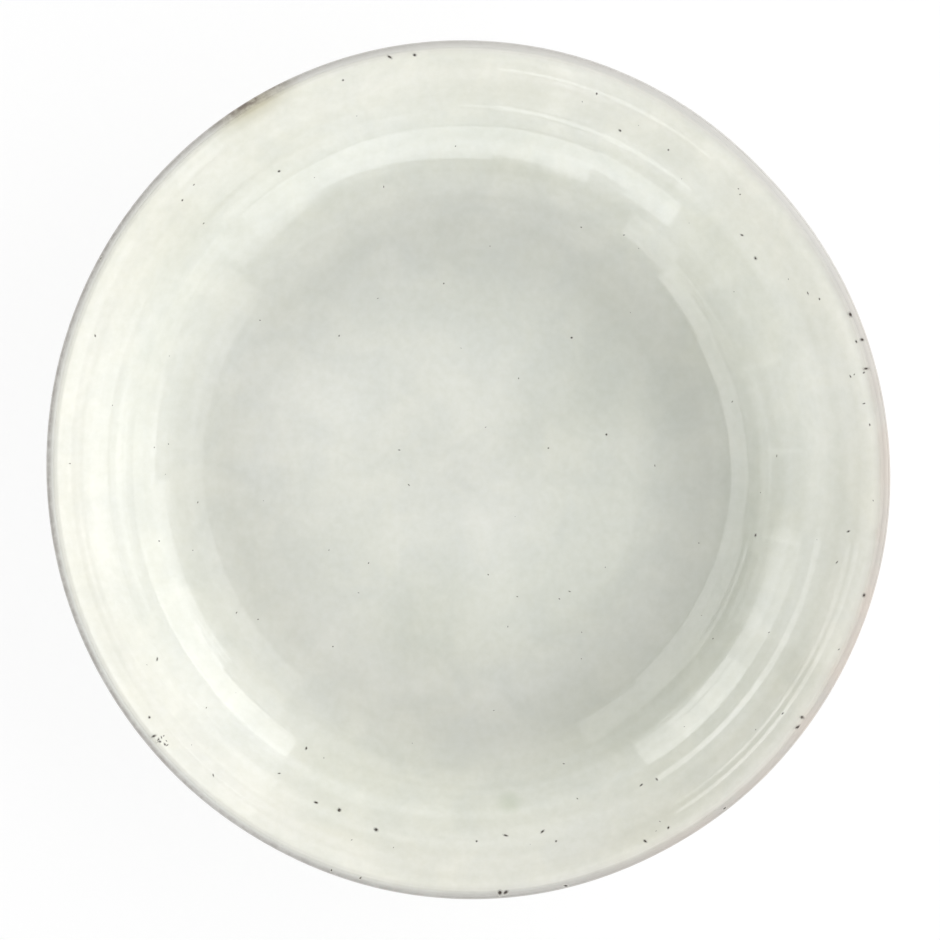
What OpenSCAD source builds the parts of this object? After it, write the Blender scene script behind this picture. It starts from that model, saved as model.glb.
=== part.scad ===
// Deep plate, thrown in stoneware and glazed. The glaze lies in three coats that never meet: one inside,
// one round the outside, and one under the base. The lip and the foot between them are bare clay.
// Origin: middle of the foot, at the height of the table. +Z is up. Seen from above, +X is to the right.

/* [Plate] */
// Mean diameter over the glazed lip
rim_d = 220; // [205:1:240]
// Height from the table to the top of the lip
plate_h = 45; // [42:0.5:50]
// How much longer the long diameter of the oval plan is than the short one
rim_oval = 4.7; // [0:0.1:8]
// Direction of the long diameter, in degrees from +X
oval_turn = 108; // [0:1:180]

/* [Well] */
// Diameter of the flat floor of the well
floor_d = 95; // [86:1:102]
// Thickness of the clay under the floor
floor_t = 5.4; // [4.5:0.1:7]
// Radius of the curve that turns the floor up into the wall
knuckle_r = 44; // [38:1:50]
// Radius of the long curve of the wall
flare_r = 240; // [180:5:400]

/* [Throwing marks] */
// Width of the band of finger grooves below the lip, along the wall
groove_band_w = 23.5; // [16:0.5:28]
// Number of finger grooves in that band
groove_count = 3; // [2:1:4]
// Depth of a finger groove
groove_depth = 0.2; // [0.1:0.05:0.35]
// Depth of the shallow hollow that the rib leaves between the knuckle and the grooves
rib_depth = 0.1; // [0:0.05:0.3]
// Height of a turning ring on the outside
turn_h = 0.12; // [0:0.02:0.25]
// Number of turning rings on the outside of the wall
turn_count = 4; // [2:1:6]

/* [Lip] */
// Radius of the rounded lip
lip_r = 1.5; // [1.2:0.1:2]
// Width of the bare line along the lip, where the glaze breaks
bare_w = 1.4; // [0.6:0.1:1.8]
// How far outwards of the lip's top that line is centred, in degrees
bare_lean = 20; // [0:1:30]

/* [Foot] */
// Outside diameter of the foot ring
foot_d = 112; // [100:1:124]
// Width of the foot ring
foot_w = 6; // [5:0.5:8]
// Height of the recess inside the foot ring
foot_h = 5; // [4:0.5:7]
// Radius on the two edges that the foot stands on
foot_edge_r = 0.8; // [0.4:0.1:1.2]
// Radius of the hollow corners beside the foot
foot_fillet_r = 1.8; // [1:0.1:2.5]
// Height of the unglazed band above the table
glaze_line_h = 2; // [1.5:0.1:2.5]

/* [Glaze] */
// Thickness of a glaze coat
glaze_t = 0.4; // [0.25:0.05:0.6]

/* [Hidden] */
$fn = 144;

clay_colour = "#8f8478";
inside_colour = "#dfe0d6";
outside_colour = "#d6d8cf";
underside_colour = "#cfd1c8";

knuckle_steps = 8;
wall_steps = 5;
groove_steps = 6;
turning_steps = 4;
lip_inner_steps = 4;
lip_outer_steps = 6;
edge_steps = 3;
knuckle_share = 0.9; // the widest knuckle, as a share of one arc that runs from the floor to the lip
plain_share = 0.2; // the least share of the wall that stays plain below the finger grooves
overrun = 1; // how far a cutting block and the blank of the foot reach past the table
grid = 0.001; // spacing of the grid that the section's points lie on

rim_r = rim_d / 2;
floor_r = floor_d / 2;
foot_r = foot_d / 2;
floor_z = foot_h + floor_t;
foot_in_r = foot_r - foot_w;

// The wall limits the knuckle: the widest arc that fits runs from the floor to the lip by itself.
lip_centre = [rim_r - glaze_t - lip_r, plate_h - lip_r];
wall_rise = lip_centre.y - floor_z;
wall_reach = lip_centre.x - floor_r;
one_arc_r = (wall_reach^2 + wall_rise^2 - lip_r^2) / (2 * (wall_rise + lip_r));
knuckle_arc_r = min(knuckle_r, knuckle_share * one_arc_r);

// The wall is one long arc. It is tangent to the knuckle's arc below it and to the round of the lip above it,
// so its centre is where two circles about their centres cross.
knuckle_centre = [floor_r, floor_z + knuckle_arc_r];
to_knuckle = flare_r - knuckle_arc_r;
to_lip = flare_r + lip_r;
centres = lip_centre - knuckle_centre;
span = norm(centres);
along = (to_knuckle^2 - to_lip^2 + span^2) / (2 * span);
across = sqrt(to_knuckle^2 - along^2);
flare_centre = knuckle_centre + (along * centres + across * [-centres.y, centres.x]) / span;

// Steepness of the wall, in degrees, where it leaves the knuckle and where it meets the lip
wall_start = atan2(knuckle_centre.x - flare_centre.x, flare_centre.y - knuckle_centre.y);
wall_end = atan2(lip_centre.x - flare_centre.x, flare_centre.y - lip_centre.y);
// Steepness at which the band of finger grooves starts
band_start = max(
    wall_end - groove_band_w / flare_r * 180 / PI,
    between(wall_start, wall_end, plain_share)
);

// Direction out of the clay, into the well, where the wall has the given steepness
function up_normal(slope) = [-sin(slope), cos(slope)];
function on_arc(centre, radius, slope) = centre - radius * up_normal(slope);

// Height of a rounded hollow or ring, from 0 at its two edges to 1 in its middle
function swell(place) = sin(180 * place);
function between(from, to, share) = from + (to - from) * share;
function place_between(value, low, high) = (value - low) / (high - low);

// How deep the hollows of the throwing marks are, at a steepness on the wall
function mark_depth(slope) =
    slope < band_start
    ? rib_depth * swell(place_between(slope, wall_start, band_start))
    : groove_depth * abs(swell(groove_count * place_between(slope, band_start, wall_end)));

// The steepness of each station along the inside, from the edge of the floor to the lip
knuckle_slopes = [for (i = [0:knuckle_steps]) between(0, wall_start, i / knuckle_steps)];
plain_slopes = [for (i = [1:wall_steps]) between(wall_start, band_start, i / wall_steps)];
band_steps = groove_count * groove_steps;
band_slopes = [for (i = [1:band_steps]) between(band_start, wall_end, i / band_steps)];

// Inside of the clay, raised by a coat of the given thickness
function inside_line(coat) = concat(
    [for (slope = knuckle_slopes) on_arc(knuckle_centre, knuckle_arc_r - coat, slope)],
    [for (slope = concat(plain_slopes, band_slopes))
        on_arc(flare_centre, flare_r - coat + mark_depth(slope), slope)]
);

// The round of the lip is measured in degrees from its top: below 0 inside, above 0 outside.
// A coat on it thins to nothing over the half of its way that is nearest to the bare line.
bare_half = asin(bare_w / 2 / lip_r);
bare_start = bare_lean - bare_half;
bare_end = bare_lean + bare_half;
lip_far_side = 180 - wall_end;
function on_lip(angle, coat) = lip_centre + (lip_r + coat) * [sin(angle), cos(angle)];
function lip_inner_line(coat) = [
    for (i = [0:lip_inner_steps]) let (share = i / lip_inner_steps)
        on_lip(between(-wall_end, bare_start, share), coat * min(1, 2 * (1 - share)))
];
function lip_outer_line(coat) = [
    for (i = [0:lip_outer_steps]) let (share = i / lip_outer_steps)
        on_lip(between(bare_end, lip_far_side, share), coat * min(1, 2 * share))
];

// Outside of the clay: the inside moved outwards by a wall that thins evenly from the floor to the lip
wall_run = on_arc(flare_centre, flare_r, wall_end).x - floor_r;
outside_steps = turn_count * turning_steps;
outside_slopes = [for (i = [1:outside_steps]) between(wall_start, wall_end, i / outside_steps)];
function wall_t(r) = between(floor_t, 2 * lip_r, (r - floor_r) / wall_run);
function turning(slope) = turn_h * abs(swell(turn_count * place_between(slope, wall_start, wall_end)));
function moved_down(point, slope, distance) = point - (wall_t(point.x) + distance) * up_normal(slope);
function outside_line(coat) = concat(
    [for (slope = knuckle_slopes) moved_down(on_arc(knuckle_centre, knuckle_arc_r, slope), slope, coat)],
    [for (slope = outside_slopes)
        moved_down(on_arc(flare_centre, flare_r, slope), slope, coat + turning(slope))]
);
function below_wall(r, coat) = lookup(r, outside_line(coat));

// Section of the side of the foot, from low down on it up and round its hollow corner.
// side is 1 for the outside of the ring and -1 for the inside.
function foot_side(r, side, ceiling, coat) = let (radius = foot_fillet_r - coat) concat(
    [[r + side * coat, glaze_line_h + foot_edge_r]],
    [for (i = [0:edge_steps]) let (a = 90 * i / edge_steps)
        [r + side * (foot_fillet_r - radius * cos(a)), ceiling - foot_fillet_r + radius * sin(a)]]
);
outer_corner_r = foot_r + foot_fillet_r;
outer_corner_z = below_wall(outer_corner_r, 0);
function past_corner(line) = [for (point = line) if (point.x > outer_corner_r) point];

// Sections, from the middle of the plate outwards
function reversed(line) = [for (i = [len(line) - 1:-1:0]) line[i]];
foot_outer_side = foot_side(foot_r, 1, outer_corner_z, 0);
foot_inner_side = foot_side(foot_in_r, -1, foot_h, 0);
function foot_edge(r, side) = [
    for (i = [0:edge_steps]) let (a = 90 * i / edge_steps)
        [r - side * foot_edge_r * (1 - cos(a)), foot_edge_r * (1 - sin(a))]
];

clay_section = concat(
    [[0, floor_z]],
    inside_line(0),
    lip_inner_line(0),
    [on_lip(max(0, bare_start), 0)],
    lip_outer_line(0),
    reversed(past_corner(outside_line(0))),
    reversed(foot_outer_side),
    foot_edge(foot_r, 1),
    [[foot_r - foot_edge_r, -overrun], [foot_in_r + foot_edge_r, -overrun]],
    reversed(foot_edge(foot_in_r, -1)),
    foot_inner_side,
    [[0, foot_h]]
);

inside_glaze_section = concat(
    [[0, floor_z + glaze_t]],
    inside_line(glaze_t),
    lip_inner_line(glaze_t),
    reversed(lip_inner_line(0)),
    reversed(inside_line(0)),
    [[0, floor_z]]
);

outside_glaze_section = concat(
    [[foot_r, glaze_line_h]],
    foot_side(foot_r, 1, outer_corner_z, glaze_t),
    past_corner(outside_line(glaze_t)),
    reversed(lip_outer_line(glaze_t)),
    lip_outer_line(0),
    reversed(past_corner(outside_line(0))),
    reversed(foot_outer_side)
);

underside_glaze_section = concat(
    [[foot_in_r, glaze_line_h]],
    foot_inner_side,
    [[0, foot_h], [0, foot_h - glaze_t]],
    reversed(foot_side(foot_in_r, -1, foot_h, glaze_t))
);

// The plate is turned round on the wheel and dries a little oval. Its plan is a four-centred oval: the two ends
// of the long diameter turn about centres set outwards, and the two flatter sides about centres across the middle.
// Neighbouring quarters meet on a plane through both their centres, so the section is the same on both sides of it.
// The points lie on a fine grid, so that the quarters share them exactly.
function on_grid(length) = round(length / grid) * grid;
centre_offset = on_grid(rim_oval / 4 / (sqrt(2) - 1));
function moved_out(line, distance) = [
    for (point = line) [point.x > 0 ? on_grid(point.x) + distance : 0, on_grid(point.y)]
];

module thrown(section) {
    rotate([0, 0, oval_turn - 45])
        for (quarter = [0:3]) {
            side = quarter % 2 == 0 ? 1 : -1;
            rotate([0, 0, 90 * quarter])
                translate([side * centre_offset, side * centre_offset, 0])
                    rotate_extrude(angle = 90)
                        polygon(moved_out(section, -side * centre_offset));
        }
}

module stoneware_body() {
    color(clay_colour)
        difference() {
            thrown(clay_section);
            // the foot is ground flat on the table
            translate([-foot_d, -foot_d, -2 * overrun])
                cube([2 * foot_d, 2 * foot_d, 2 * overrun]);
        }
}

module inside_glaze() {
    color(inside_colour) thrown(inside_glaze_section);
}

module outside_glaze() {
    color(outside_colour) thrown(outside_glaze_section);
}

module underside_glaze() {
    color(underside_colour) thrown(underside_glaze_section);
}

stoneware_body();
inside_glaze();
outside_glaze();
underside_glaze();
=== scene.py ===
import math
import random

import bpy
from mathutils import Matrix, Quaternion, Vector


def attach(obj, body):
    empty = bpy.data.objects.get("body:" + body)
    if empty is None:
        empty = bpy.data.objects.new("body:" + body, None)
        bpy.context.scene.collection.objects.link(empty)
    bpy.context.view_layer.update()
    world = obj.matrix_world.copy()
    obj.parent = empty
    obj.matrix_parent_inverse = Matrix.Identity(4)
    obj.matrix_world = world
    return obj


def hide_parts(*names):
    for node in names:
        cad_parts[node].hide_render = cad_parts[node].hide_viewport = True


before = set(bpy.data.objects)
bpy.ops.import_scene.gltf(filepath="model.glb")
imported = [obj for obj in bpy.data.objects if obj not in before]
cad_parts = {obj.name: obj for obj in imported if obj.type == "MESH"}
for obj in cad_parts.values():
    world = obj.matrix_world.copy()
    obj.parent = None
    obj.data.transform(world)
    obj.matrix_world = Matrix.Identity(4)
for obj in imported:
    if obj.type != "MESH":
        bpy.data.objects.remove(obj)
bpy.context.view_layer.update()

# Deep plate of hand-thrown stoneware, seen from straight above.
# The four CAD solids stay as the frame. A finely turned shell stands for each, and the glaze gets its specks.

mm = 0.001
random.seed(4)

studio = {
    "cameraPlace": (0.78 * mm, -0.155 * mm, 1.245),
    "lens": 178.0,             # 220 mm across the lip fills 851 of 940 pixels
    "sensorWidth": 36,
    "lampDistance": 0.9,       # m from the middle, and nearer for the soft fill
    "fillDistance": 0.36,
    "worldStrength": 0.572,
    "floorSize": 6,
    "floorGlow": 0.85,         # how white the floor looks, against the shadow that it keeps
    "coolLight": (0.92, 0.96, 1.0),
}


# Small helpers

def deselectAll():
    if bpy.context.object and bpy.context.object.mode != "OBJECT":
        bpy.ops.object.mode_set(mode="OBJECT")
    bpy.ops.object.select_all(action="DESELECT")


def makeActive(piece):
    deselectAll()
    piece.select_set(True)
    bpy.context.view_layer.objects.active = piece


def between(low, high, share):
    return low + (high - low) * share


def alongStops(stops, share):
    # the value at this share, in straight lines between the stops
    for (low, lowValue), (high, highValue) in zip(stops, stops[1:]):
        if share <= high:
            return between(lowValue, highValue, max(0, share - low) / (high - low))
    return stops[-1][1]


def report(piece):
    print(piece.name, sum(len(face.vertices) - 2 for face in piece.data.polygons), "triangles")


for name in ("Cube", "Light", "Camera"):  # what a new file starts with
    if name in bpy.data.objects:
        bpy.data.objects.remove(bpy.data.objects[name])


# Turning: a section is drawn as a line of vertices, spun round the wheel's axis, and dried a little oval

turning = {
    "steps": 240,          # vertices round the plate
    "startSize": 2 * mm,   # a small plane, merged to the first vertex of the section
    "weld": 0.002 * mm,    # joins the first turn to the last
    "longShare": 1.0107,   # the plan's long diameter, against the mean
    "shortShare": 0.9893,
    "ovalTurn": 108,       # degrees from +X
}


def drawSection(name, points):
    deselectAll()
    bpy.ops.mesh.primitive_plane_add(size=turning["startSize"], location=(0, 0, 0))
    piece = bpy.context.object
    piece.name = name
    piece.data.name = name
    bpy.ops.object.mode_set(mode="EDIT")
    bpy.ops.mesh.select_all(action="SELECT")
    bpy.ops.mesh.merge(type="CENTER")
    bpy.ops.transform.translate(value=(points[0][0] * mm, 0, points[0][1] * mm))
    for last, point in zip(points, points[1:]):
        step = ((point[0] - last[0]) * mm, 0, (point[1] - last[1]) * mm)
        bpy.ops.mesh.extrude_region_move(TRANSFORM_OT_translate={"value": step})
    bpy.ops.object.mode_set(mode="OBJECT")
    return piece


def turnOnWheel(piece):
    makeActive(piece)
    bpy.ops.object.mode_set(mode="EDIT")
    bpy.ops.mesh.select_all(action="SELECT")
    bpy.ops.mesh.spin(steps=turning["steps"], angle=2 * math.pi, center=(0, 0, 0), axis=(0, 0, 1))
    bpy.ops.mesh.select_all(action="SELECT")
    bpy.ops.mesh.remove_doubles(threshold=turning["weld"])
    bpy.ops.mesh.normals_make_consistent(inside=False)
    bpy.ops.object.mode_set(mode="OBJECT")
    bpy.ops.object.shade_smooth()


def keepRadius(piece):
    # how far out each point lies on the round plate, in shares of the lip's radius, for the glaze to follow
    rimShare = piece.data.attributes.new("rimShare", "FLOAT", "POINT")
    rimRadius = plate["rimRadius"] * mm
    rimShare.data.foreach_set("value", [v.co.xy.length / rimRadius for v in piece.data.vertices])


def dryOval(piece):
    makeActive(piece)
    turn = math.radians(turning["ovalTurn"])
    piece.rotation_euler.z = -turn
    bpy.ops.object.transform_apply(location=True, rotation=True, scale=True)
    piece.scale = (turning["longShare"], turning["shortShare"], 1)
    bpy.ops.object.transform_apply(location=True, rotation=True, scale=True)
    piece.rotation_euler.z = turn
    bpy.ops.object.transform_apply(location=True, rotation=True, scale=True)


# The hand: slow unevenness that every shell shares, so that the coats stay on the clay

handWork = {
    # name, direction, width and strength of each wave
    "waves": [
        ("planX", "X", 90 * mm, 0.9 * mm),  # the outline is out of true by some tenths
        ("planY", "Y", 90 * mm, 0.9 * mm),
        ("wall", "Z", 60 * mm, 0.3 * mm),   # the wall's height wanders slowly
        ("fine", "Z", 9 * mm, 0.02 * mm),   # the glaze's own soft waves
    ],
    # the foot stays true up to 0.4 of the fade, 4.8 mm, and a whole fade higher all of it moves
    "footFade": 12 * mm, "footTrue": 0.4,
    "waveDepth": 1,
    # how far the lip stands out past its oval (direction in degrees from +X, mm)
    "rimPushes": [
        (0, 0.62), (10, 0.45), (20, 0.0), (32, -0.5), (50, -0.55), (60, -0.15), (72, 0.5), (82, 0.55),
        (92, 0.15), (120, -0.2), (140, -0.05), (200, 0.0), (215, 0.2), (240, 0.3), (265, 0.4), (290, 0.2),
        (300, -0.2), (310, 0.25), (322, 0.1), (334, 0.6), (350, 0.85), (360, 0.62),
    ],
    "pushFrom": 60, "pushTo": 100,  # mm from the middle, from no push to all of it
    "cagePoints": 13,
    "cageWidth": 264 * mm,
}


def bendCage():
    # a cage of points round the plate, whose upper layer is pushed out and carries every shell with it
    deselectAll()
    bpy.ops.object.add(type="LATTICE", location=(0, 0, plate["height"] * mm / 2))
    cage = bpy.context.object
    cage.name = "rimCage"
    cage.scale = (handWork["cageWidth"], handWork["cageWidth"], plate["height"] * mm)
    cage.data.points_u = handWork["cagePoints"]
    cage.data.points_v = handWork["cagePoints"]
    cage.data.points_w = 2
    cage.data.interpolation_type_w = "KEY_LINEAR"
    for point in cage.data.points:
        spot = Vector((point.co.x, point.co.y)) * handWork["cageWidth"] / mm
        if point.co.z > 0 and spot.length > handWork["pushFrom"]:
            turn = math.degrees(math.atan2(spot.y, spot.x)) % 360
            fade = handWork["pushTo"] - handWork["pushFrom"]
            share = min(1, (spot.length - handWork["pushFrom"]) / fade)
            push = alongStops(handWork["rimPushes"], turn) * share * mm / handWork["cageWidth"]
            outward = spot.normalized() * push
            point.co_deform = (point.co.x + outward.x, point.co.y + outward.y, point.co.z)
    return cage


def addUnevenness(piece):
    makeActive(piece)
    group = piece.vertex_groups.new(name="aboveFoot")
    for v in piece.data.vertices:
        weight = min(1, max(0, v.co.z / handWork["footFade"] - handWork["footTrue"]))
        group.add([v.index], weight, "REPLACE")
    for name, axis, size, strength in handWork["waves"]:
        texture = bpy.data.textures.get(name) or bpy.data.textures.new(name, "CLOUDS")
        texture.noise_scale = size
        texture.noise_depth = handWork["waveDepth"]
        wave = piece.modifiers.new(name, "DISPLACE")
        wave.texture = texture
        wave.texture_coords = "LOCAL"
        wave.direction = axis
        wave.vertex_group = "aboveFoot"
        wave.strength = strength
        bpy.ops.object.modifier_apply(modifier=name)
    piece.vertex_groups.clear()
    push = piece.modifiers.new("rimPush", "LATTICE")
    push.object = rimCage
    bpy.ops.object.modifier_apply(modifier="rimPush")


# Section of the plate in millimetres. A line holds (radius, height, steepness in degrees).

plate = {
    "rimRadius": 110,
    "height": 45,
    "floorRadius": 47.5,
    "floorTop": 10.8,          # the glazed floor
    "coat": 0.4,
    "knuckleRadius": 43.6,     # the curve from the floor to the wall, over the glaze
    "wallStart": 31.7,         # steepness at the knuckle and at the lip
    "wallEnd": 42.6,
    "wallFrom": 0.64,          # the same two places in shares of the lip's radius
    "wallTo": 0.971,
    "lipRadius": 1.5,
    "bareStart": -8,           # the bare line on the lip, in degrees from its top
    "bareEnd": 48,
    "floorRings": (0, 1.5, 4, 8, 13, 19, 26, 33, 39, 44),
    "knuckleSteps": 24,
    "wallSteps": 100,
    # steepness of the wall at shares of the lip's radius, with the short flats that the fingers left
    "wallSteepness": [
        (0.640, 31.7), (0.720, 34.0), (0.798, 36.6), (0.820, 39.7), (0.843, 39.9), (0.849, 38.3),
        (0.854, 38.3), (0.860, 40.2), (0.910, 40.6), (0.916, 39.7), (0.922, 39.7), (0.928, 41.2),
        (0.934, 38.9), (0.938, 38.9), (0.944, 41.8), (0.965, 42.6), (0.971, 42.6),
    ],
}

below = {
    "clayAtFloor": 5.4,        # the wall thins evenly from here to the lip
    "turningRings": 4,
    "turningHeight": 0.12,
    "footOuter": 56,
    "footInner": 50,
    "footHeight": 5,
    "footEdge": 0.8,
    "footFillet": 1.8,
    "glazeLine": 2.8,          # where the coats end on the foot's sides
    "trimmingRings": 5,        # shallow rings that the trimming tool left under the floor
    "trimmingHeight": 0.06,
    "knuckleSteps": 10,
    "wallSteps": 48,
    "cornerSteps": 6,
    "edgeSteps": 5,
    "roofSteps": 60,
    "cornerSpace": 0.2,        # from the foot's hollow corner to the next vertex of the wall
}


lipReach = plate["lipRadius"] + plate["coat"]
lipCentre = (plate["rimRadius"] - lipReach, plate["height"] - plate["lipRadius"])


def insideLine(knuckleSteps, wallSteps):
    line = [(radius, plate["floorTop"], 0) for radius in plate["floorRings"]]
    knuckleHeight = plate["floorTop"] + plate["knuckleRadius"]
    for i in range(knuckleSteps + 1):
        slope = plate["wallStart"] * i / knuckleSteps
        a = math.radians(slope)
        line.append((plate["floorRadius"] + plate["knuckleRadius"] * math.sin(a),
                     knuckleHeight - plate["knuckleRadius"] * math.cos(a), slope))
    # walk up the wall in even strides, then fit the last height to the lip
    end = math.radians(plate["wallEnd"])
    endRadius = lipCentre[0] - lipReach * math.sin(end)
    endHeight = lipCentre[1] + lipReach * math.cos(end)
    startRadius, startHeight, _ = line[-1]
    stride = (endRadius - startRadius) / wallSteps
    radius, height = startRadius, startHeight
    wall = []
    for i in range(wallSteps):
        slope = alongStops(plate["wallSteepness"], (radius + stride / 2) / plate["rimRadius"])
        radius += stride
        height += stride * math.tan(math.radians(slope))
        wall.append((radius, height, alongStops(plate["wallSteepness"], radius / plate["rimRadius"])))
    gain = (endHeight - startHeight) / (height - startHeight)
    return line + [(r, startHeight + (z - startHeight) * gain, slope) for r, z, slope in wall]


def movedDown(line, depth):
    # the same line, moved at right angles into the clay
    moved = []
    for radius, height, slope in line:
        a = math.radians(slope)
        moved.append((radius + depth * math.sin(a) if radius else 0, height - depth * math.cos(a), slope))
    return moved


def outsideLine(coat):
    # the inside line moved down by a wall that thins towards the lip, with the turning rings on it
    top = insideLine(below["knuckleSteps"], below["wallSteps"])[len(plate["floorRings"]):]
    line = []
    for radius, height, slope in top:
        share = (radius - plate["floorRadius"]) / (plate["rimRadius"] - lipReach - plate["floorRadius"])
        thickness = between(below["clayAtFloor"], 2 * plate["lipRadius"], share)
        ringPlace = (radius / plate["rimRadius"] - plate["wallFrom"]) / (plate["wallTo"] - plate["wallFrom"])
        ring = below["turningHeight"] * abs(math.sin(math.pi * below["turningRings"] * max(0, ringPlace)))
        if ringPlace > 0:
            slope = between(plate["wallStart"], plate["wallEnd"], ringPlace)
        a = math.radians(slope)
        reach = plate["coat"] + thickness + coat + ring
        line.append((radius + reach * math.sin(a), height - reach * math.cos(a)))
    return line


def onLip(angle, coat):
    a = math.radians(angle)
    reach = plate["lipRadius"] + coat
    return (lipCentre[0] + reach * math.sin(a), lipCentre[1] + reach * math.cos(a))


def lipArc(start, end, steps, thick):
    # thick gives the coat at the start and the end of the arc, from 0 to 1
    points = []
    for i in range(steps + 1):
        coat = plate["coat"] * between(thick[0], thick[1], i / steps)
        points.append(onLip(between(start, end, i / steps), coat))
    return points


def footSide(radius, side, ceiling, coat):
    # up the side of the foot and round its hollow corner: side is 1 outside the ring and -1 inside it
    corner = below["footFillet"] - coat
    points = [(radius + side * coat, below["glazeLine"])]
    for i in range(below["cornerSteps"] + 1):
        a = math.radians(90 * i / below["cornerSteps"])
        points.append((radius + side * (below["footFillet"] - corner * math.cos(a)),
                       ceiling - below["footFillet"] + corner * math.sin(a)))
    return points


def footEdge(radius, side):
    points = []
    for i in range(below["edgeSteps"] + 1):
        a = math.radians(90 * i / below["edgeSteps"])
        points.append((radius - side * below["footEdge"] * (1 - math.cos(a)),
                       below["footEdge"] * (1 - math.sin(a))))
    return points


def recessRoof(coat):
    # under the floor, from the middle outwards, with the trimming rings
    points = []
    reach = below["footInner"] - below["footFillet"]
    for i in range(below["roofSteps"] + 1):
        share = i / below["roofSteps"]
        ring = below["trimmingHeight"] * abs(math.sin(math.pi * below["trimmingRings"] * share))
        points.append((reach * share, below["footHeight"] + ring - coat))
    return points[:-1]


def flat(line):
    return [(point[0], point[1]) for point in line]


def heightBelow(line, radius):
    for (r0, z0), (r1, z1) in zip(line, line[1:]):
        if r0 <= radius <= r1:
            return between(z0, z1, (radius - r0) / (r1 - r0))


def pastCorner(line):
    start = below["footOuter"] + below["footFillet"] + below["cornerSpace"]
    return [point for point in line if point[0] > start]


insideTop = insideLine(plate["knuckleSteps"], plate["wallSteps"])
insideClay = movedDown(insideTop, plate["coat"])
outsideClay = outsideLine(0)
outsideTop = outsideLine(plate["coat"])
cornerHeight = heightBelow(outsideClay, below["footOuter"] + below["footFillet"])
lipFar = 180 - plate["wallEnd"]
# steps round the lip: over the clay, over a coat's face, and back along the clay under the coat
claySteps, coatSteps, backSteps = 36, 12, 6
# the clay follows every third point of the inside line, and the back of its coat every fourth
clayEvery, backEvery = 3, 4

insideSection = (
    flat(insideTop)
    + lipArc(-plate["wallEnd"], plate["bareStart"], coatSteps, (1, 0))[1:]
    + lipArc(plate["bareStart"], -plate["wallEnd"], backSteps, (0, 0))[1:-1]
    + flat(insideClay[::-backEvery]) + [(0, insideClay[0][1])]
)
claySection = (
    flat(insideClay[::clayEvery])
    + lipArc(-plate["wallEnd"], lipFar, claySteps, (0, 0))
    + pastCorner(outsideClay)[::-1]
    + footSide(below["footOuter"], 1, cornerHeight, 0)[::-1]
    + footEdge(below["footOuter"], 1)
    + footEdge(below["footInner"], -1)[::-1]
    + footSide(below["footInner"], -1, below["footHeight"], 0)
    + recessRoof(0)[::-1]
)
outsideSection = (
    [(below["footOuter"], below["glazeLine"])]
    + footSide(below["footOuter"], 1, cornerHeight, plate["coat"])
    + pastCorner(outsideTop)
    + lipArc(lipFar, plate["bareEnd"], coatSteps, (1, 0))
    + lipArc(plate["bareEnd"], lipFar, backSteps, (0, 0))[1:]
    + pastCorner(outsideClay)[::-1]
    + footSide(below["footOuter"], 1, cornerHeight, 0)[:0:-1]
)
undersideSection = (
    [(below["footInner"], below["glazeLine"])]
    + footSide(below["footInner"], -1, below["footHeight"], 0)[1:]
    + recessRoof(0)[::-1]
    + recessRoof(plate["coat"])
    + footSide(below["footInner"], -1, below["footHeight"], plate["coat"])[::-1]
)


def turnedShell(name, section, closed):
    piece = drawSection(name, section + (section[:1] if closed else []))
    turnOnWheel(piece)
    keepRadius(piece)
    dryOval(piece)
    addUnevenness(piece)
    report(piece)
    return piece


rimCage = bendCage()
insideGlaze = turnedShell("insideGlaze", insideSection, False)
clayBody = turnedShell("clayBody", claySection, False)
outsideGlaze = turnedShell("outsideGlaze", outsideSection, True)
undersideGlaze = turnedShell("undersideGlaze", undersideSection, True)
bpy.data.objects.remove(rimCage)
print("turned the clay and its coats")


# Finger rings: low waves that the fingers left round the wall, which change slowly along it

fingerRings = {
    "size": 4.5,               # mm across one ring
    "length": 110,             # mm before it changes
    "slant": 0.6,              # how far the change runs towards +Y as well as towards +X
    "height": 0.06 * mm,
    # how strongly they show at shares of the lip's radius: not on the floor and not on the lip
    "strength": [(0.45, 0.0), (0.70, 1.0), (0.955, 1.0), (0.965, 0.0)],
}


def drawFingerRings(piece):
    makeActive(piece)
    mesh = piece.data
    shares = [item.value for item in mesh.attributes["rimShare"].data]
    group = piece.vertex_groups.new(name="ringStrength")
    for v in mesh.vertices:
        weight = alongStops(fingerRings["strength"], shares[v.index]) if v.normal.z > 0 else 0
        group.add([v.index], weight, "REPLACE")
    # the waves are drawn on a map of radius against length, so that they follow the plate round
    ringMap = mesh.uv_layers.new(name="ringMap")
    for loop in mesh.loops:
        spot = mesh.vertices[loop.vertex_index].co / mm
        across = shares[loop.vertex_index] * plate["rimRadius"] / fingerRings["size"]
        along = (spot.x + fingerRings["slant"] * spot.y) / fingerRings["length"]
        ringMap.data[loop.index].uv = (across / 2, along / 2)  # the modifier reads a map at twice its numbers
    texture = bpy.data.textures.new("fingerRings", "CLOUDS")
    texture.noise_scale = 1
    wave = piece.modifiers.new("fingerRings", "DISPLACE")
    wave.texture = texture
    wave.texture_coords = "UV"
    wave.uv_layer = "ringMap"
    wave.direction = "Z"
    wave.vertex_group = "ringStrength"
    wave.strength = fingerRings["height"]
    bpy.ops.object.modifier_apply(modifier="fingerRings")
    piece.vertex_groups.clear()
    mesh = piece.data
    mesh.uv_layers.remove(mesh.uv_layers["ringMap"])


drawFingerRings(insideGlaze)
print("drew the finger rings on the wall")


# Materials: every glaze shares its clouds, so that the coats match where they meet at the lip

def linear(hexText):
    parts = [int(hexText[i:i + 2], 16) / 255 for i in (1, 3, 5)]
    return [p / 12.92 if p <= 0.04045 else ((p + 0.055) / 1.055) ** 2.4 for p in parts] + [1]


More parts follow.
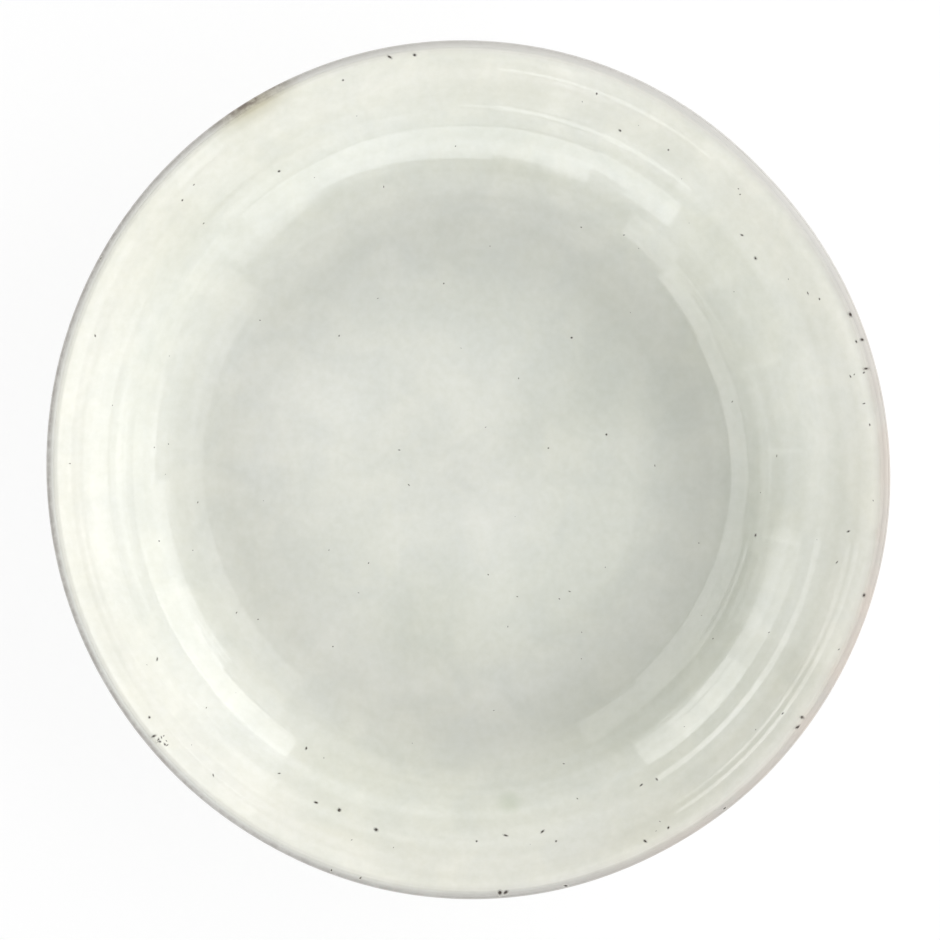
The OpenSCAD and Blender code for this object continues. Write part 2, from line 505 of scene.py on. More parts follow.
def addNode(tree, kind, settings, inputs, output=0):
    # settings are the node's own, and an input is a value, a hex colour or another node's output
    node = tree.nodes.new(kind)
    for name, value in settings.items():
        if name == "stops":
            elements = node.color_ramp.elements
            while len(elements) < len(value):
                elements.new(0.5)
            for element, (position, tone) in zip(elements, value):
                element.position = position
                element.color = linear(tone) if isinstance(tone, str) else (tone, tone, tone, 1)
        else:
            setattr(node, name, value)
    for name, value in inputs.items():
        if isinstance(value, bpy.types.NodeSocket):
            tree.links.new(value, node.inputs[name])
        else:
            node.inputs[name].default_value = linear(value) if isinstance(value, str) else value
    return node.outputs[output] if node.outputs else None


# numbers of the sockets of a Mix node that mixes colours
mixShare, mixFirst, mixSecond, mixResult = 0, 6, 7, 2

# the kinds of node that are used most
ramp, noise = "ShaderNodeValToRGB", "ShaderNodeTexNoise"
maths, mixer = "ShaderNodeMath", "ShaderNodeMix"

# how many finer layers a noise has
softDetail, crispDetail = 2, 3

# settings of the nodes that are used most: one colour laid over another, one tinted by it, and a product
laidOver = {"data_type": "RGBA"}
tinted = {"data_type": "RGBA", "blend_type": "MULTIPLY"}
multiply = {"operation": "MULTIPLY"}

glaze = {
    "cream": "#f0f1eb",        # thick, clean glaze
    "greyGreen": "#e9ebe6",    # where it took up iron
    "cloudSize": 13,           # mm across a cloud
    "cloudRoughness": 0.55,
    "cloudSwirl": 0.5,
    "cloudEdge": [(0.35, 0.0), (0.65, 1.0)],
    "patchSize": 42,
    "patchTone": [(0.35, "#f9f9f6"), (0.65, "#ffffff")],
    "mottleSize": 2.2,
    "mottleTone": [(0.30, "#fafaf8"), (0.70, "#ffffff")],
    "mottleRoughness": 0.6,
    # the finger rings show on the wall and not on the floor
    "ringTone": [(0.35, "#f8f8f6"), (0.62, "#ffffff")],
    "ringRoughness": 0.45,
    "ringPlace": [(0.55, 0.0), (0.75, 1.0)],
    # tone of the inside at shares of the lip's radius: greyer at the foot of the wall, partly where the glaze
    # ran there and partly painted shade in the curve from the floor to the wall
    "insideToneAndShade": [
        (0.00, "#efefee"), (0.10, "#f3f3f2"), (0.30, "#f9f9f8"), (0.42, "#f8f8f7"), (0.50, "#f1f1f0"),
        (0.58, "#e8e8e6"), (0.65, "#eaeae8"), (0.70, "#f0f0ed"), (0.76, "#f9f9f6"), (0.81, "#fefefc"),
        (0.93, "#fffdfa"),
    ],
    # where it pooled, and painted shade on some sides: the side in degrees from +X, the tone, and its
    # strength at shares of the lip's radius
    "poolsAndShade": [
        (10, "#eeefed", [(0.02, 0.0), (0.10, 0.3), (0.36, 0.8), (0.52, 0.7), (0.62, 0.0)]),
        (70, "#edeeec", [(0.08, 0.0), (0.20, 0.4), (0.40, 1.0), (0.52, 1.0), (0.68, 0.0)]),
        (285, "#f2f3f0", [(0.10, 0.0), (0.30, 1.0), (0.44, 0.9), (0.54, 0.0)]),
        (0, "#f3f4f1", [(0.60, 0.0), (0.66, 0.8), (0.70, 0.8), (0.74, 0.3), (0.78, 0.0)]),
        (332, "#e7e8e5", [(0.40, 0.0), (0.56, 0.7), (0.68, 1.0), (0.76, 0.9), (0.82, 0.55), (0.93, 0.75),
                          (0.965, 0.0)]),
        (80, "#f9f9f8", [(0.66, 0.0), (0.74, 0.8), (0.90, 1.0), (0.955, 0.0)]),
    ],
    "sideFade": [(0.10, 0.0), (0.90, 1.0)],
    "smudge": "#f1f4ef",       # one grey-green spot low on the wall
    "smudgePlace": (11 * mm, -86.6 * mm, 29 * mm),
    "smudgeReach": 4.2 * mm,
    "smudgeFade": [(0.35, 1.0), (1.0, 0.0)],
    "waveSize": 1.6,           # mm across one wave of the fine skin that softens a lamp's edge
    "waveHeight": 0.0016,
    "roughness": [(0.964, 0.05), (0.978, 0.34)],  # it dries to satin where it is pulled thin on the lip
    "ior": 1.5,
}

# the lip: the glaze pulled thin, so the clay greys it, painted shade greys it more on one side, and the fire
# browned its outer edge on one side
lip = {
    "thin": "#cac8c3",         # pale lilac grey
    "band": [(0.964, 0.0), (0.975, 0.25), (0.984, 0.8), (0.991, 1.0)],
    "wobble": 0.008,           # how far the pale band wanders, in shares of the lip's radius
    "wobbleSize": 7,
    "bandShift": 0.007,        # how much further out the band sits on the side of the dark edge
    "shadedGrey": "#b6b3ad",       # painted shade on one side of the lip
    "shadeTurn": 312,         # that side, in degrees from +X
    "pink": "#c6bcb2",         # where the clay shows warmer
    "pinkTurn": 335,
    "pinkSide": [(0.55, 0.0), (0.95, 1.0)],
    "pinkSize": 14,
    "pinkPlaces": [(0.35, 0.3), (0.60, 1.0)],
    "edge": "#a6a29c",         # the outermost half millimetre
    "edgeLine": [(0.984, 0.0), (0.9885, 0.65), (0.993, 1.0), (0.998, 0.6)],
    "edgeTurn": 195,           # the side with the dark edge
    "edgeSide": [(0.05, 0.22), (0.55, 0.85), (1.0, 1.0)],
    "shortEdgeTurn": 327,      # a short dark stretch on the far side
    "shortEdgeSide": [(0.95, 0.0), (0.985, 0.9)],
    "breakSize": 2.4,          # mm between the knots that it breaks into
    "breakRoughness": 0.6,
    "breaks": [(0.38, 0.35), (0.60, 1.0)],
    "stain": "#6d6058",        # iron brown
    "stainPlace": (-55.6 * mm, 95.0 * mm, 44 * mm),
    "stainReach": 14 * mm,
    "stainFade": [(0.2, 1.0), (1.0, 0.0)],
    "stainBand": [(0.970, 0.0), (0.982, 0.35), (0.990, 0.75)],
    "stainBreaks": [(0.42, 0.0), (0.58, 1.0)],
    "beige": "#dcd5c0",        # the glaze next to the stain
    "beigeBand": [(0.935, 0.0), (0.970, 0.75)],
}


def towards(tree, place, turn):
    # 1 on the side of the plate that lies this many degrees from +X, and less than 0 on the far half
    a = math.radians(turn)
    outward = addNode(tree, "ShaderNodeVectorMath", {"operation": "NORMALIZE"}, {0: place})
    return addNode(tree, "ShaderNodeVectorMath", {"operation": "DOT_PRODUCT"},
                   {0: outward, 1: (math.cos(a), math.sin(a), 0)}, "Value")


def nearTo(tree, place, spot, reach, fade):
    # how near the surface lies to one spot, faded out at this reach from it
    away = addNode(tree, "ShaderNodeVectorMath", {"operation": "DISTANCE"}, {0: place, 1: spot}, "Value")
    reached = addNode(tree, maths, {"operation": "DIVIDE"}, {0: away, 1: reach})
    return addNode(tree, ramp, {"stops": fade}, {0: reached})


def lipColour(tree, place, rimShare, base):
    # the pale band wanders, and sits further out on the side of the dark edge
    wobble = addNode(tree, noise, {},
                     {"Vector": place, "Scale": 1000 / lip["wobbleSize"], "Detail": crispDetail})
    centred = addNode(tree, maths, {"operation": "SUBTRACT"}, {0: wobble, 1: 0.5})
    wandered = addNode(tree, maths, {"operation": "MULTIPLY_ADD"},
                       {0: centred, 1: lip["wobble"], 2: rimShare})
    edgeFacing = towards(tree, place, lip["edgeTurn"])
    bandPlace = addNode(tree, maths, {"operation": "MULTIPLY_ADD"},
                        {0: edgeFacing, 1: -lip["bandShift"], 2: wandered})
    band = addNode(tree, ramp, {"stops": lip["band"]}, {0: bandPlace})
    # painted shade: the pale band greys towards one side
    shadeSide = addNode(tree, ramp, {"stops": glaze["sideFade"]},
                         {0: towards(tree, place, lip["shadeTurn"])})
    pale = addNode(tree, mixer, laidOver,
                   {mixShare: shadeSide, mixFirst: lip["thin"], mixSecond: lip["shadedGrey"]}, mixResult)
    pinkSide = addNode(tree, ramp, {"stops": lip["pinkSide"]}, {0: towards(tree, place, lip["pinkTurn"])})
    pinkPatches = addNode(tree, noise, {},
                          {"Vector": place, "Scale": 1000 / lip["pinkSize"], "Detail": softDetail})
    pinkPlaces = addNode(tree, ramp, {"stops": lip["pinkPlaces"]}, {0: pinkPatches})
    pinkShare = addNode(tree, maths, multiply, {0: pinkSide, 1: pinkPlaces})
    bandColour = addNode(tree, mixer, laidOver,
                         {mixShare: pinkShare, mixFirst: pale, mixSecond: lip["pink"]}, mixResult)
    # the dark line at the outermost edge, strongest on one side and broken into knots
    knots = addNode(tree, noise, {},
                    {"Vector": place, "Scale": 1000 / lip["breakSize"], "Detail": crispDetail,
                     "Roughness": lip["breakRoughness"]})
    edgeKnots = addNode(tree, ramp, {"stops": lip["breaks"]}, {0: knots})
    edgeSide = addNode(tree, ramp, {"stops": lip["edgeSide"]}, {0: edgeFacing})
    shortEdge = addNode(tree, ramp, {"stops": lip["shortEdgeSide"]},
                        {0: towards(tree, place, lip["shortEdgeTurn"])})
    bothEdges = addNode(tree, maths, {"operation": "MAXIMUM"}, {0: edgeSide, 1: shortEdge})
    edgeLine = addNode(tree, ramp, {"stops": lip["edgeLine"]}, {0: rimShare})
    sideShare = addNode(tree, maths, multiply, {0: bothEdges, 1: edgeKnots})
    edgeShare = addNode(tree, maths, multiply, {0: edgeLine, 1: sideShare})
    # one browned stretch, with the glaze beside it turned beige
    near = nearTo(tree, place, lip["stainPlace"], lip["stainReach"], lip["stainFade"])
    beigeBand = addNode(tree, ramp, {"stops": lip["beigeBand"]}, {0: bandPlace})
    beigeShare = addNode(tree, maths, multiply, {0: near, 1: beigeBand})
    burnt = addNode(tree, ramp, {"stops": lip["stainBreaks"]}, {0: knots})
    stainBand = addNode(tree, ramp, {"stops": lip["stainBand"]}, {0: bandPlace})
    burntBand = addNode(tree, maths, multiply, {0: burnt, 1: stainBand})
    stainShare = addNode(tree, maths, multiply, {0: near, 1: burntBand})
    layers = [
        (laidOver, band, bandColour),
        (laidOver, edgeShare, lip["edge"]),
        (tinted, beigeShare, lip["beige"]),
        (laidOver, stainShare, lip["stain"]),
    ]
    colour = base
    for blend, share, tone in layers:
        colour = addNode(tree, mixer, blend,
                         {mixShare: share, mixFirst: colour, mixSecond: tone}, mixResult)
    return colour


def glazeColour(tree, place, rimShare, isInside):
    clouds = addNode(tree, noise, {},
                     {"Vector": place, "Scale": 1000 / glaze["cloudSize"], "Detail": crispDetail,
                      "Roughness": glaze["cloudRoughness"], "Distortion": glaze["cloudSwirl"]})
    cloudShare = addNode(tree, ramp, {"stops": glaze["cloudEdge"]}, {0: clouds})
    colour = addNode(tree, mixer, laidOver,
                     {mixShare: cloudShare, mixFirst: glaze["greyGreen"], mixSecond: glaze["cream"]},
                     mixResult)
    # faint rings that follow the plate round and change slowly along it
    spot = addNode(tree, "ShaderNodeVectorMath", {"operation": "SCALE"},
                   {0: place, "Scale": 1000 / fingerRings["length"]})
    across = addNode(tree, maths, multiply, {0: rimShare, 1: plate["rimRadius"] / fingerRings["size"]})
    along = [addNode(tree, "ShaderNodeSeparateXYZ", {}, {0: spot}, axis) for axis in "XY"]
    ringPlace = addNode(tree, "ShaderNodeCombineXYZ", {}, {0: across, 1: along[0], 2: along[1]})
    rings = addNode(tree, noise, {},
                    {"Vector": ringPlace, "Scale": 1, "Detail": softDetail,
                     "Roughness": glaze["ringRoughness"]})
    ringTone = addNode(tree, ramp, {"stops": glaze["ringTone"]}, {0: rings})
    onWall = addNode(tree, ramp, {"stops": glaze["ringPlace"]}, {0: rimShare})
    patches = addNode(tree, noise, {},
                      {"Vector": place, "Scale": 1000 / glaze["patchSize"], "Detail": softDetail})
    patchTone = addNode(tree, ramp, {"stops": glaze["patchTone"]}, {0: patches})
    mottle = addNode(tree, noise, {},
                     {"Vector": place, "Scale": 1000 / glaze["mottleSize"], "Detail": softDetail,
                      "Roughness": glaze["mottleRoughness"]})
    mottleTone = addNode(tree, ramp, {"stops": glaze["mottleTone"]}, {0: mottle})
    tones = [(onWall, ringTone), (1.0, patchTone), (1.0, mottleTone)]
    if isInside:
        # partly painted shade: the tone along the radius also darkens the curve from the floor to the wall
        insideToneAndShade = addNode(tree, ramp, {"stops": glaze["insideToneAndShade"]}, {0: rimShare})
        tones.append((1.0, insideToneAndShade))
        # pooled glaze and painted shade: darker patches towards some sides of the floor and wall
        for turn, tone, strength in glaze["poolsAndShade"]:
            side = addNode(tree, ramp, {"stops": glaze["sideFade"]}, {0: towards(tree, place, turn)})
            deep = addNode(tree, ramp, {"stops": strength}, {0: rimShare})
            poolAndShadeShare = addNode(tree, maths, multiply, {0: side, 1: deep})
            tones.append((poolAndShadeShare, tone))
        smudgeShare = nearTo(tree, place, glaze["smudgePlace"], glaze["smudgeReach"], glaze["smudgeFade"])
        tones.append((smudgeShare, glaze["smudge"]))
    for share, tone in tones:
        colour = addNode(tree, mixer, tinted,
                         {mixShare: share, mixFirst: colour, mixSecond: tone}, mixResult)
    return lipColour(tree, place, rimShare, colour)


def startMaterial(name):
    material = bpy.data.materials.new(name)
    material.use_nodes = True
    tree = material.node_tree
    tree.nodes.clear()
    place = addNode(tree, "ShaderNodeTexCoord", {}, {}, "Object")
    rimShare = addNode(tree, "ShaderNodeAttribute", {"attribute_name": "rimShare"}, {}, "Fac")
    return material, tree, place, rimShare


def finishGlaze(tree, place, rimShare, colour):
    # the glaze melts smooth, and only a fine skin like orange peel softens the edge of a mirrored lamp
    peel = addNode(tree, noise, {},
                   {"Vector": place, "Scale": 1000 / glaze["waveSize"], "Detail": softDetail})
    skin = addNode(tree, "ShaderNodeBump", {}, {"Height": peel, "Distance": glaze["waveHeight"] * mm})
    roughness = addNode(tree, ramp, {"stops": glaze["roughness"]}, {0: rimShare})
    surface = addNode(tree, "ShaderNodeBsdfPrincipled", {},
                      {"Base Color": colour, "Roughness": roughness, "IOR": glaze["ior"], "Normal": skin})
    addNode(tree, "ShaderNodeOutputMaterial", {}, {"Surface": surface})


def stonewareGlaze(name, isInside):
    # Feldspar glaze, dipped and fired to a gloss. It is glass: the eye sees sharp lamps mirrored in it, and
    # under them a clouded cream that greys where the glaze ran thick, with painted shade at the foot of the
    # wall and on some sides inside.
    material, tree, place, rimShare = startMaterial(name)
    finishGlaze(tree, place, rimShare, glazeColour(tree, place, rimShare, isInside))
    return material


stoneware = {
    "clay": "#bfa991",         # raw clay on the foot, fired buff
    "dark": "#a58d75",
    "gritSize": 0.7,
    "grainHeight": 0.05,
    "iron": "#4a382c",
    "ironSize": 2.6,           # mm between iron grains
    "ironEdge": [(0.10, 1.0), (0.16, 0.0)],
    "lipPlace": [(0.90, 0.0), (0.91, 1.0)],
    "roughness": [(0.90, 0.85), (0.91, 0.35)],  # the lip is sealed by the last of the glaze
    "grain": [(0.90, 1.0), (0.91, 0.06)],
}


def buffStoneware():
    # Buff stoneware clay, thrown, trimmed with a steel tool and fired bare. The eye sees dry sand with dark
    # iron grains on the foot, and at the lip a smoother line where the glaze pulled away and left its tint.
    material, tree, place, rimShare = startMaterial("firedBuffStoneware")
    grit = addNode(tree, noise, {},
                   {"Vector": place, "Scale": 1000 / stoneware["gritSize"], "Detail": crispDetail})
    clay = addNode(tree, mixer, laidOver,
                   {mixShare: grit, mixFirst: stoneware["dark"], mixSecond: stoneware["clay"]}, mixResult)
    grains = addNode(tree, "ShaderNodeTexVoronoi", {},
                     {"Vector": place, "Scale": 1000 / stoneware["ironSize"]})
    ironShare = addNode(tree, ramp, {"stops": stoneware["ironEdge"]}, {0: grains})
    clay = addNode(tree, mixer, laidOver,
                   {mixShare: ironShare, mixFirst: clay, mixSecond: stoneware["iron"]}, mixResult)
    lipShare = addNode(tree, ramp, {"stops": stoneware["lipPlace"]}, {0: rimShare})
    glazed = glazeColour(tree, place, rimShare, False)
    colour = addNode(tree, mixer, laidOver,
                     {mixShare: lipShare, mixFirst: clay, mixSecond: glazed}, mixResult)
    roughness = addNode(tree, ramp, {"stops": stoneware["roughness"]}, {0: rimShare})
    grain = addNode(tree, ramp, {"stops": stoneware["grain"]}, {0: rimShare})
    skin = addNode(tree, "ShaderNodeBump", {},
                   {"Height": grit, "Strength": grain, "Distance": stoneware["grainHeight"] * mm})
    surface = addNode(tree, "ShaderNodeBsdfPrincipled", {},
                      {"Base Color": colour, "Roughness": roughness, "Normal": skin})
    addNode(tree, "ShaderNodeOutputMaterial", {}, {"Surface": surface})
    return material


def dress(piece, material, nodeName):
    piece.data.materials.clear()
    piece.data.materials.append(material)
    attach(piece, "root")
    if nodeName:
        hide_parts(nodeName)


outsideMaterial = stonewareGlaze("glossyFeldsparGlazeOutside", False)
dress(insideGlaze, stonewareGlaze("glossyFeldsparGlazeInside", True), "inside_glaze")
dress(outsideGlaze, outsideMaterial, "outside_glaze")
dress(undersideGlaze, outsideMaterial, "underside_glaze")
dress(clayBody, buffStoneware(), "stoneware_body")
print("glazed and fired the plate")


# Iron specks: grains of iron in the clay that bled up through the glaze. One is modelled and then copied.

specks = {
    "iron": "#352a23",
    "bleed": [(0.02, 0.0), (0.25, 0.20), (0.60, 0.42), (0.85, 0.85), (1.0, 1.0)],
    "raggedSize": 0.3,         # mm across the rags of its edge
    "sides": 12,
    "across": 1 * mm,          # of the one that is modelled
    "roundTo": 30,             # degrees between faces up to which it is shaded round
    "insets": (0.14 * mm, 0.19 * mm),  # of the post's top: the halo, then the fade round the dark core
    # share of iron in the glaze, out to these shares of the post's radius
    "ironOut": [(0.4, 1.0), (0.8, 0.32), (1.0, 0.0)],
    "depth": 0.16 * mm,        # most of it is sunk in the glaze
    "stand": 0.010 * mm,       # how far its face stands proud
    "haloShare": 3.3,          # width of the whole speck against its dark core
    "stretch": (1.0, 2.6),     # length against width
    "scattered": 60,           # tiny ones, besides those listed one by one
    "scatteredWidth": (0.08, 0.18),
    "scatteredReach": 0.97,    # of the lip's radius
    "scatteredFrom": 0.1,      # m above the ground, where their rays start
    "outsideCount": 130,
    "outsideFrom": 0.2,        # m from the middle, where their rays start
    "outsideWidth": (0.2, 0.7),
    "outsideHeight": (6, 42),  # mm
    # places across the lip's level in mm, as the plate is seen from above, under the width of the dark core
    "placed": {
        0.60: [(8.5, -109.3)],
        0.56: [(-23.5, -93), (10, -109.2), (85.5, -66.5), (-33, -88), (99, 40)],
        0.44: [(102, 33.5), (-80.9, -68.9), (-79.7, -69.9), (86.5, -64), (46, -96), (103, 26), (-13.5, 107),
               (19.5, -93.5), (102.5, -32.5), (74.5, 54.5), (10, -94.5), (-39, -86), (25.5, -107.5),
               (-20, 106.5)],
        0.36: [(66.5, -87.5), (71, 60.5), (-79.3, -70.3), (-82, -64), (45, -81.5), (-41.5, -72), (-78, -71),
               (74.5, -17), (39.5, 87.5), (52, -92.5), (-80, -49), (98.5, -16), (-48.5, 77), (100.5, 33),
               (49, -80)],
        0.28: [(-35, -103.5), (-27.5, -105.5), (-94.5, 54.5), (-78.9, -69.2), (-77.4, -71.2), (104, 11.5),
               (88, 45.5), (95.5, -24), (-48.5, -78.5), (52, 82.5), (91, 44), (-65.5, -79), (-32, 100.5),
               (-73.5, 69.5), (33.5, 97), (2.5, -96), (81.5, -63), (36, 9), (27, 34), (23, -96), (99, 24),
               (102.5, 17), (-96, 34.5), (102.5, 25)],
        0.20: [(-70.5, 73.5), (-78.3, -68.8), (-77.6, -70.1), (-102.5, 1.5), (100, 24.5), (-33, 34.5),
               (70.5, 71), (-17.5, 5), (-79.5, -18.5), (-69.5, -8.5), (-68, 63.5), (25, -76), (-15, -4),
               (21, 5.5), (-21.5, 73), (96, -46.5), (68.5, 17.5), (-59.5, -37), (28.5, -85), (40.5, 60.5),
               (26.5, -31.5), (29.5, 62.5), (80, 3.5), (-6, 48)],
    },
}


def modelSpeck():
    # a short post, its top inset twice: dark core, fade and halo
    deselectAll()
    bpy.ops.mesh.primitive_cylinder_add(vertices=specks["sides"], radius=specks["across"] / 2,
                                        depth=specks["depth"], location=(0, 0, -specks["depth"] / 2))
    piece = bpy.context.object
    piece.name = "ironSpeck"
    bpy.ops.object.transform_apply(location=True, rotation=True, scale=True)
    bpy.ops.object.mode_set(mode="EDIT")
    bpy.ops.mesh.select_mode(type="FACE")
    bpy.ops.mesh.select_all(action="DESELECT")
    bpy.ops.object.mode_set(mode="OBJECT")
    for face in piece.data.polygons:
        face.select = face.normal.z > 0.9
    bpy.ops.object.mode_set(mode="EDIT")
    for width in specks["insets"]:
        bpy.ops.mesh.inset(thickness=width)
    bpy.ops.object.mode_set(mode="OBJECT")
    bpy.ops.object.shade_smooth_by_angle(angle=math.radians(specks["roundTo"]))
    ironShare = piece.data.attributes.new("ironShare", "FLOAT", "POINT")
    for v in piece.data.vertices:
        away = min(1, v.co.xy.length / (specks["across"] / 2))
        ironShare.data[v.index].value = next(iron for reach, iron in specks["ironOut"] if away <= reach)
    return piece


def placeSpeck(pattern, ground, start, heading, coreWidth):
    # sends a ray from start along heading and lays a copy of the speck where it meets the ground
    found, spot, normal, _ = ground.ray_cast(start, heading)
    if not found:
        return None
    copy = pattern.copy()
    copy.data = pattern.data.copy()
    bpy.context.scene.collection.objects.link(copy)
    width = coreWidth * specks["haloShare"]
    copy.location = spot + normal * specks["stand"]
    copy.rotation_mode = "QUATERNION"
    spin = Quaternion((0, 0, 1), random.uniform(0, 2 * math.pi))
    copy.rotation_quaternion = normal.to_track_quat("Z", "Y") @ spin
    stretch = random.uniform(*specks["stretch"]) ** 0.5
    copy.scale = (width * stretch, width / stretch, 1)
    return copy


def joinSpecks(name, copies, ground):
    deselectAll()
    for copy in copies:
        copy.select_set(True)
    bpy.context.view_layer.objects.active = copies[0]
    bpy.ops.object.join()
    piece = bpy.context.object
    piece.name = name
    piece.data.name = name
    bpy.ops.object.transform_apply(location=True, rotation=True, scale=True)
    # the radius that the glaze's tones go by, read off the glaze under each speck
    rimShare = piece.data.attributes.new("rimShare", "FLOAT", "POINT")
    groundShare = ground.data.attributes["rimShare"].data
    for v in piece.data.vertices:
        _, _, _, face = ground.closest_point_on_mesh(v.co)
        corners = ground.data.polygons[face].vertices
        rimShare.data[v.index].value = sum(groundShare[corner].value for corner in corners) / len(corners)
    report(piece)
    return piece


speckPattern = modelSpeck()
eye = Vector(studio["cameraPlace"])
insideSpecks = []
for coreWidth, places in specks["placed"].items():
    for x, y in places:
        heading = (Vector((x * mm, y * mm, plate["height"] * mm)) - eye).normalized()
        # those at the very edge lie on the bare line
        insideSpecks.append(placeSpeck(speckPattern, insideGlaze, eye, heading, coreWidth)
                            or placeSpeck(speckPattern, clayBody, eye, heading, coreWidth))
for i in range(specks["scattered"]):
    reach = plate["rimRadius"] * mm * specks["scatteredReach"] * math.sqrt(random.random())
    turn = random.uniform(0, 2 * math.pi)
    start = Vector((reach * math.cos(turn), reach * math.sin(turn), specks["scatteredFrom"]))
    coreWidth = random.uniform(*specks["scatteredWidth"])
    insideSpecks.append(placeSpeck(speckPattern, insideGlaze, start, Vector((0, 0, -1)), coreWidth))
insideSpecks = [copy for copy in insideSpecks if copy]
ironSpecks = joinSpecks("ironSpecks", insideSpecks, insideGlaze)

outsideSpecks = []
for i in range(specks["outsideCount"]):
    turn = random.uniform(0, 2 * math.pi)
    height = random.uniform(*specks["outsideHeight"]) * mm
    reach = specks["outsideFrom"]
    start = Vector((reach * math.cos(turn), reach * math.sin(turn), height))
    coreWidth = random.uniform(*specks["outsideWidth"])
    heading = Vector((-math.cos(turn), -math.sin(turn), 0))
    outsideSpecks.append(placeSpeck(speckPattern, outsideGlaze, start, heading, coreWidth))
outsideSpecks = [copy for copy in outsideSpecks if copy]
outsideIron = joinSpecks("outsideIronSpecks", outsideSpecks, outsideGlaze)
bpy.data.objects.remove(speckPattern)


def ironSpot(name, isInside):
    # Iron grains of the clay, melted up into the glaze. The eye sees a brown-black core in a rusty grey halo
    # with a ragged edge, and the gloss of the glaze runs on over it.
    material, tree, place, rimShare = startMaterial(name)
    ironShare = addNode(tree, "ShaderNodeAttribute", {"attribute_name": "ironShare"}, {}, "Fac")
    bleeding = addNode(tree, noise, {},
                       {"Vector": place, "Scale": 1000 / specks["raggedSize"], "Detail": softDetail})
    centred = addNode(tree, maths, {"operation": "SUBTRACT"}, {0: bleeding, 1: 0.5})
    ragged = addNode(tree, maths, {"operation": "ADD"}, {0: ironShare, 1: centred})
    share = addNode(tree, ramp, {"stops": specks["bleed"]}, {0: ragged})
    colour = addNode(tree, mixer, laidOver,
                     {mixShare: share, mixFirst: glazeColour(tree, place, rimShare, isInside),
                      mixSecond: specks["iron"]}, mixResult)
    finishGlaze(tree, place, rimShare, colour)
    return material


dress(ironSpecks, ironSpot("ironSpotInInsideGlaze", True), None)
dress(outsideIron, ironSpot("ironSpotInOutsideGlaze", False), None)
print("laid", len(insideSpecks), "specks inside and", len(outsideSpecks), "outside")


# Floor, lamps and camera

deselectAll()
bpy.ops.mesh.primitive_plane_add(size=studio["floorSize"], location=(0, 0, 0))
floor = bpy.context.object
floor.name = "floor"
# Matt white card, pressed without gloss: the eye sees white, and the plate's shadow on it
card = bpy.data.materials.new("mattWhiteCard")
card.use_nodes = True
card.node_tree.nodes.clear()
floor.data.materials.append(card)

sky = bpy.data.worlds.new("studioSky")
bpy.context.scene.world = sky
sky.use_nodes = True
sky.node_tree.nodes.clear()


def seenShare(tree):
    # 1 where the camera, a mirror or clear glass looks, and 0 for the light that falls on the plate
    looks = [addNode(tree, "ShaderNodeLightPath", {}, {}, "Is %s Ray" % kind)
             for kind in ("Camera", "Glossy", "Transmission")]
    eitherLook = addNode(tree, maths, {"operation": "MAXIMUM"}, {0: looks[0], 1: looks[1]})
    return addNode(tree, maths, {"operation": "MAXIMUM"}, {0: eitherLook, 1: looks[2]})


tree = card.node_tree
glowShare = addNode(tree, maths, multiply, {0: seenShare(tree), 1: studio["floorGlow"]})
matt = addNode(tree, "ShaderNodeBsdfDiffuse", {}, {"Color": "#ffffff"})
glow = addNode(tree, "ShaderNodeEmission", {}, {"Strength": 1.0})
cardSurface = addNode(tree, "ShaderNodeMixShader", {}, {0: glowShare, 1: matt, 2: glow})
addNode(tree, "ShaderNodeOutputMaterial", {}, {"Surface": cardSurface})

tree = sky.node_tree
lighting = addNode(tree, "ShaderNodeBackground", {}, {"Strength": studio["worldStrength"]})
backdrop = addNode(tree, "ShaderNodeBackground", {}, {"Strength": 1.0})
skySurface = addNode(tree, "ShaderNodeMixShader", {}, {0: seenShare(tree), 1: lighting, 2: backdrop})
addNode(tree, "ShaderNodeOutputWorld", {}, {"Surface": skySurface})
print("laid the floor and lit the sky")

# each lamp: the direction it stands in, how high its lower and upper edges look from the wall across the
# plate, its width in degrees, and its brightness
lamps = {
    "lowerLampLeft": (238, 17.0, 23.1, 17, 2.6),
    "lowerLampMiddle": (255.5, 18.2, 24.4, 18, 2.6),
    "lowerLampRight": (274.5, 19.3, 25.1, 20, 2.6),
    "lowerPanelLeft": (241, 2, 17.0, 29, 0.8),
    "lowerPanelRight": (285, 2, 18.8, 62, 0.8),
    "leftStripStart": (122, 27.0, 29.0, 16, 1.3),
    "leftStripNear": (201.5, 26.9, 29.9, 15, 2.6),
    "leftStripMiddle": (216.5, 26.0, 29.0, 15, 2.8),
    "leftStripEnd": (230, 25.0, 28.2, 12, 1.6),
    "softFill": (5, 27, 58, 98, 2.2),
    "softFillAbove": (95, 27, 58, 60, 0.6),
}
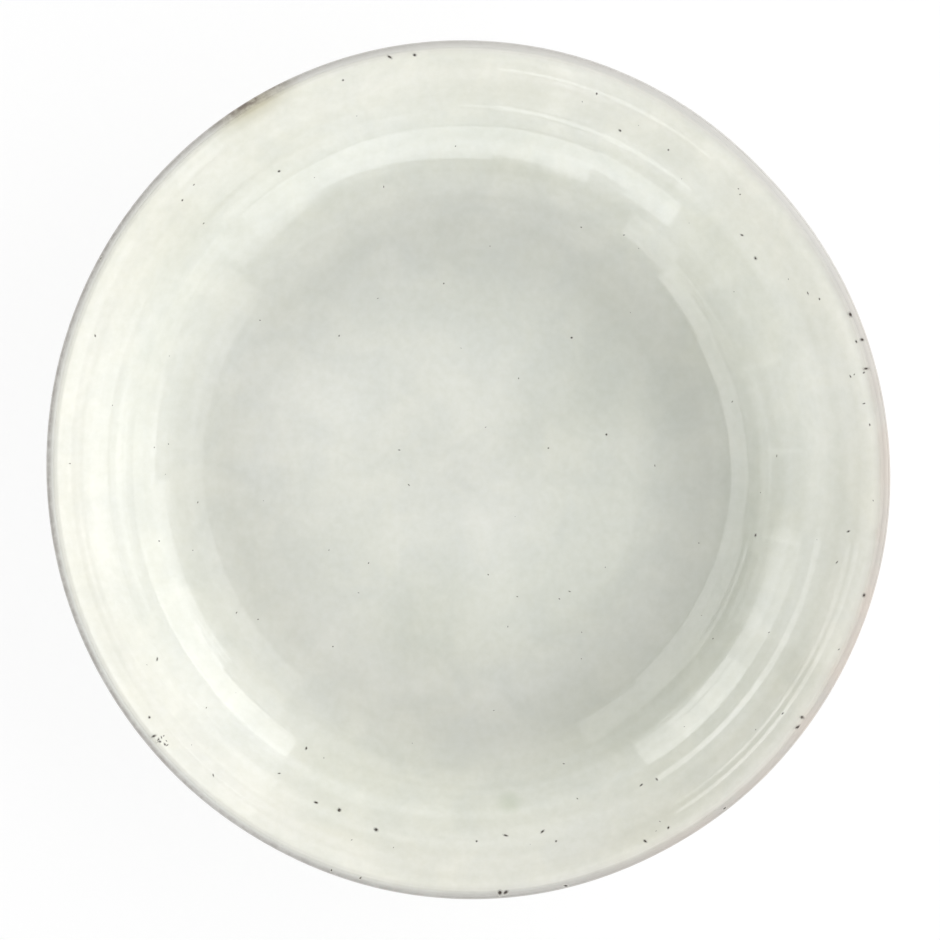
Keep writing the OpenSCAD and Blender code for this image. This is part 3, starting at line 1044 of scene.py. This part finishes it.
# lamps that fade along their length, cut into short ones: the first direction, the step between them, the
# lower and upper edges, and the brightness of each
fadingLamps = {
    "lowerLampEnd": (288, 7, 19.8, 25.2, (2.6, 2.6, 2.3, 1.6, 0.8)),
    "rightPanel": (-42, 18, 3, 14.8, (0.5, 1.3, 1.9, 1.9, 1.9, 1.7, 0.5)),
    "rightPanelTop": (-24, 18, 14.8, 18.6, (0.4, 0.7, 0.8, 0.9, 0.7)),
    "rightGlow": (-30, 18, 24.2, 30.3, (0.9, 0.8, 0.7, 1.2, 1.0)),
    "leftPanel": (160, 16, 4, 25.3, (1.0, 1.15, 1.2, 1.1, 0.95)),
    "leftStrip": (138, 16, 27.2, 30.3, (1.5, 1.9, 2.3, 2.5)),
    "leftStripGlow": (172, 15, 25.3, 26.9, (1.1, 1.4, 1.4)),
    "rightLampStart": (-38, 9, 18.6, 23.1, (1.4, 1.6, 1.5, 1.5, 2.2)),
    "rightLamp": (7, 9, 18.6, 24.2, (2.4, 3.0, 4.2, 4.5)),
    "rightLampEnd": (43, 9, 18.6, 23.3, (4.2, 3.2)),
    "leftLamp": (126, 8, 17.0, 23.7, (2.4, 3.4, 3.5, 2.1, 1.6, 1.2)),
}
coolLamps = "lower"              # the lamps below the plate in the picture shine a little cooler
unseenLamps = ("softFill", "softFillAbove")  # too wide and soft for the glaze to mirror
wallAcross = (85 * mm, 30 * mm)  # radius and height of the wall that mirrors the lamps


def addLamp(name, direction, lowEdge, highEdge, width, brightness):
    a = math.radians(direction)
    reach = studio["fillDistance"] if name in unseenLamps else studio["lampDistance"]
    wallRadius, wallHeight = wallAcross
    low = wallHeight + (reach + wallRadius) * math.tan(math.radians(lowEdge))
    high = wallHeight + (reach + wallRadius) * math.tan(math.radians(highEdge))
    lamp = bpy.data.lights.new(name, "AREA")
    lamp.shape = "RECTANGLE"
    lamp.size = 2 * reach * math.tan(math.radians(width / 2))
    place = Vector((reach * math.cos(a), reach * math.sin(a), (low + high) / 2))
    lamp.size_y = (high - low) * reach / place.length
    lamp.energy = brightness * math.pi * lamp.size * lamp.size_y
    if name.startswith(coolLamps):
        lamp.color = studio["coolLight"]
    thing = bpy.data.objects.new(name, lamp)
    thing.visible_glossy = name not in unseenLamps
    thing.location = place
    thing.rotation_euler = (-place).to_track_quat("-Z", "Y").to_euler()
    bpy.context.scene.collection.objects.link(thing)


for name, facts in lamps.items():
    addLamp(name, *facts)
for name, (first, step, lowEdge, highEdge, brightnesses) in fadingLamps.items():
    for i, brightness in enumerate(brightnesses):
        addLamp(name + str(i + 1), first + i * step, lowEdge, highEdge, step, brightness)
print("set up", len(bpy.data.lights), "lamps")

camera = bpy.data.objects.new("overheadCamera", bpy.data.cameras.new("overheadCamera"))
camera.location = studio["cameraPlace"]
camera.data.lens = studio["lens"]
camera.data.sensor_width = studio["sensorWidth"]
bpy.context.scene.collection.objects.link(camera)
bpy.context.scene.camera = camera
bpy.context.scene.view_settings.view_transform = "Standard"
